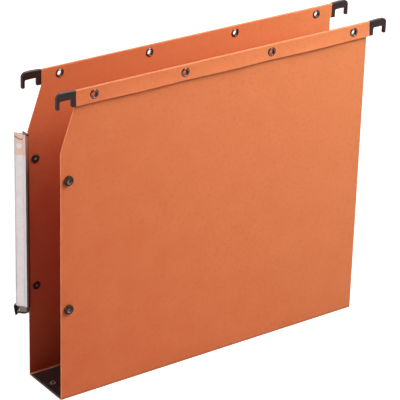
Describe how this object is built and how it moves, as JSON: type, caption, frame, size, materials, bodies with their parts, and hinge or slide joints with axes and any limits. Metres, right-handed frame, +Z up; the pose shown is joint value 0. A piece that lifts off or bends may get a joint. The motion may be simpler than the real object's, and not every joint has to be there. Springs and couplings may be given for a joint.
{
  "type": "lateral hanging file folder",
  "caption": "Orange card hanging file folder with stiffened base, steel hem rails, black moulded hooks, eyelets, press studs and an angled label holder.",
  "frame": {"origin": "Centre of the base card's underside, which stands on the table.", "axes": "+X runs along the rails from the open, labelled edge to the far edge, +Y from the front panel to the rear panel, +Z up to the hooks."},
  "size_m": [0.3528, 0.0659, 0.29],
  "materials": {
    "orange_card": "dyed kraft card, matt, finely mottled",
    "rail_steel": "bright flat steel strip",
    "hook_plastic": "moulded, satin black",
    "eyelet_nickel": "nickel-plated, bright",
    "stud_black": "black lacquered, satin",
    "stiffener_plastic": "glossy black sheet",
    "rivet_black": "black lacquered, satin",
    "clip_plastic": "extruded, satin black",
    "clear_sleeve": "clear, glossy",
    "end_cap_plastic": "moulded, glossy black",
    "label_paper": "plain white paper with a pale tinted head"
  },
  "bodies": {
    "base": {"base_card": "orange_card", "base_stiffener": "stiffener_plastic", "base_left_rivet": "rivet_black", "base_right_rivet": "rivet_black"},
    "front": {"front_panel": "orange_card", "front_rail": "rail_steel", "front_left_hook": "hook_plastic", "front_right_hook": "hook_plastic", "front_eyelet_1": "eyelet_nickel", "front_eyelet_2": "eyelet_nickel", "front_eyelet_3": "eyelet_nickel", "front_eyelet_4": "eyelet_nickel", "front_lower_socket": "stud_black", "front_lower_cap": "stud_black", "front_upper_socket": "stud_black", "front_upper_cap": "stud_black"},
    "rear": {"rear_panel": "orange_card", "rear_rail": "rail_steel", "rear_left_hook": "hook_plastic", "rear_right_hook": "hook_plastic", "rear_eyelet_1": "eyelet_nickel", "rear_eyelet_2": "eyelet_nickel", "rear_eyelet_3": "eyelet_nickel", "rear_eyelet_4": "eyelet_nickel", "rear_lower_stud": "stud_black", "rear_lower_cap": "stud_black", "rear_upper_stud": "stud_black", "rear_upper_cap": "stud_black", "label_clip": "clip_plastic", "label_sleeve": "clear_sleeve", "label_end_cap": "end_cap_plastic"},
    "label": {"label_insert": "label_paper"}
  },
  "joints": [
    {"name": "front_fold", "type": "hinge", "parent": "base", "child": "front", "pos_m": [0, -0.02635, 0.00025], "axis": [1, 0, 0], "range_deg": [-4, 80]},
    {"name": "rear_fold", "type": "hinge", "parent": "base", "child": "rear", "pos_m": [0, 0.02635, 0.00025], "axis": [-1, 0, 0], "range_deg": [-4, 80]},
    {"name": "label_slide", "type": "slide", "parent": "rear", "child": "label", "axis": [0, 0, 1], "range_m": [0, 0.15]}
  ]
}
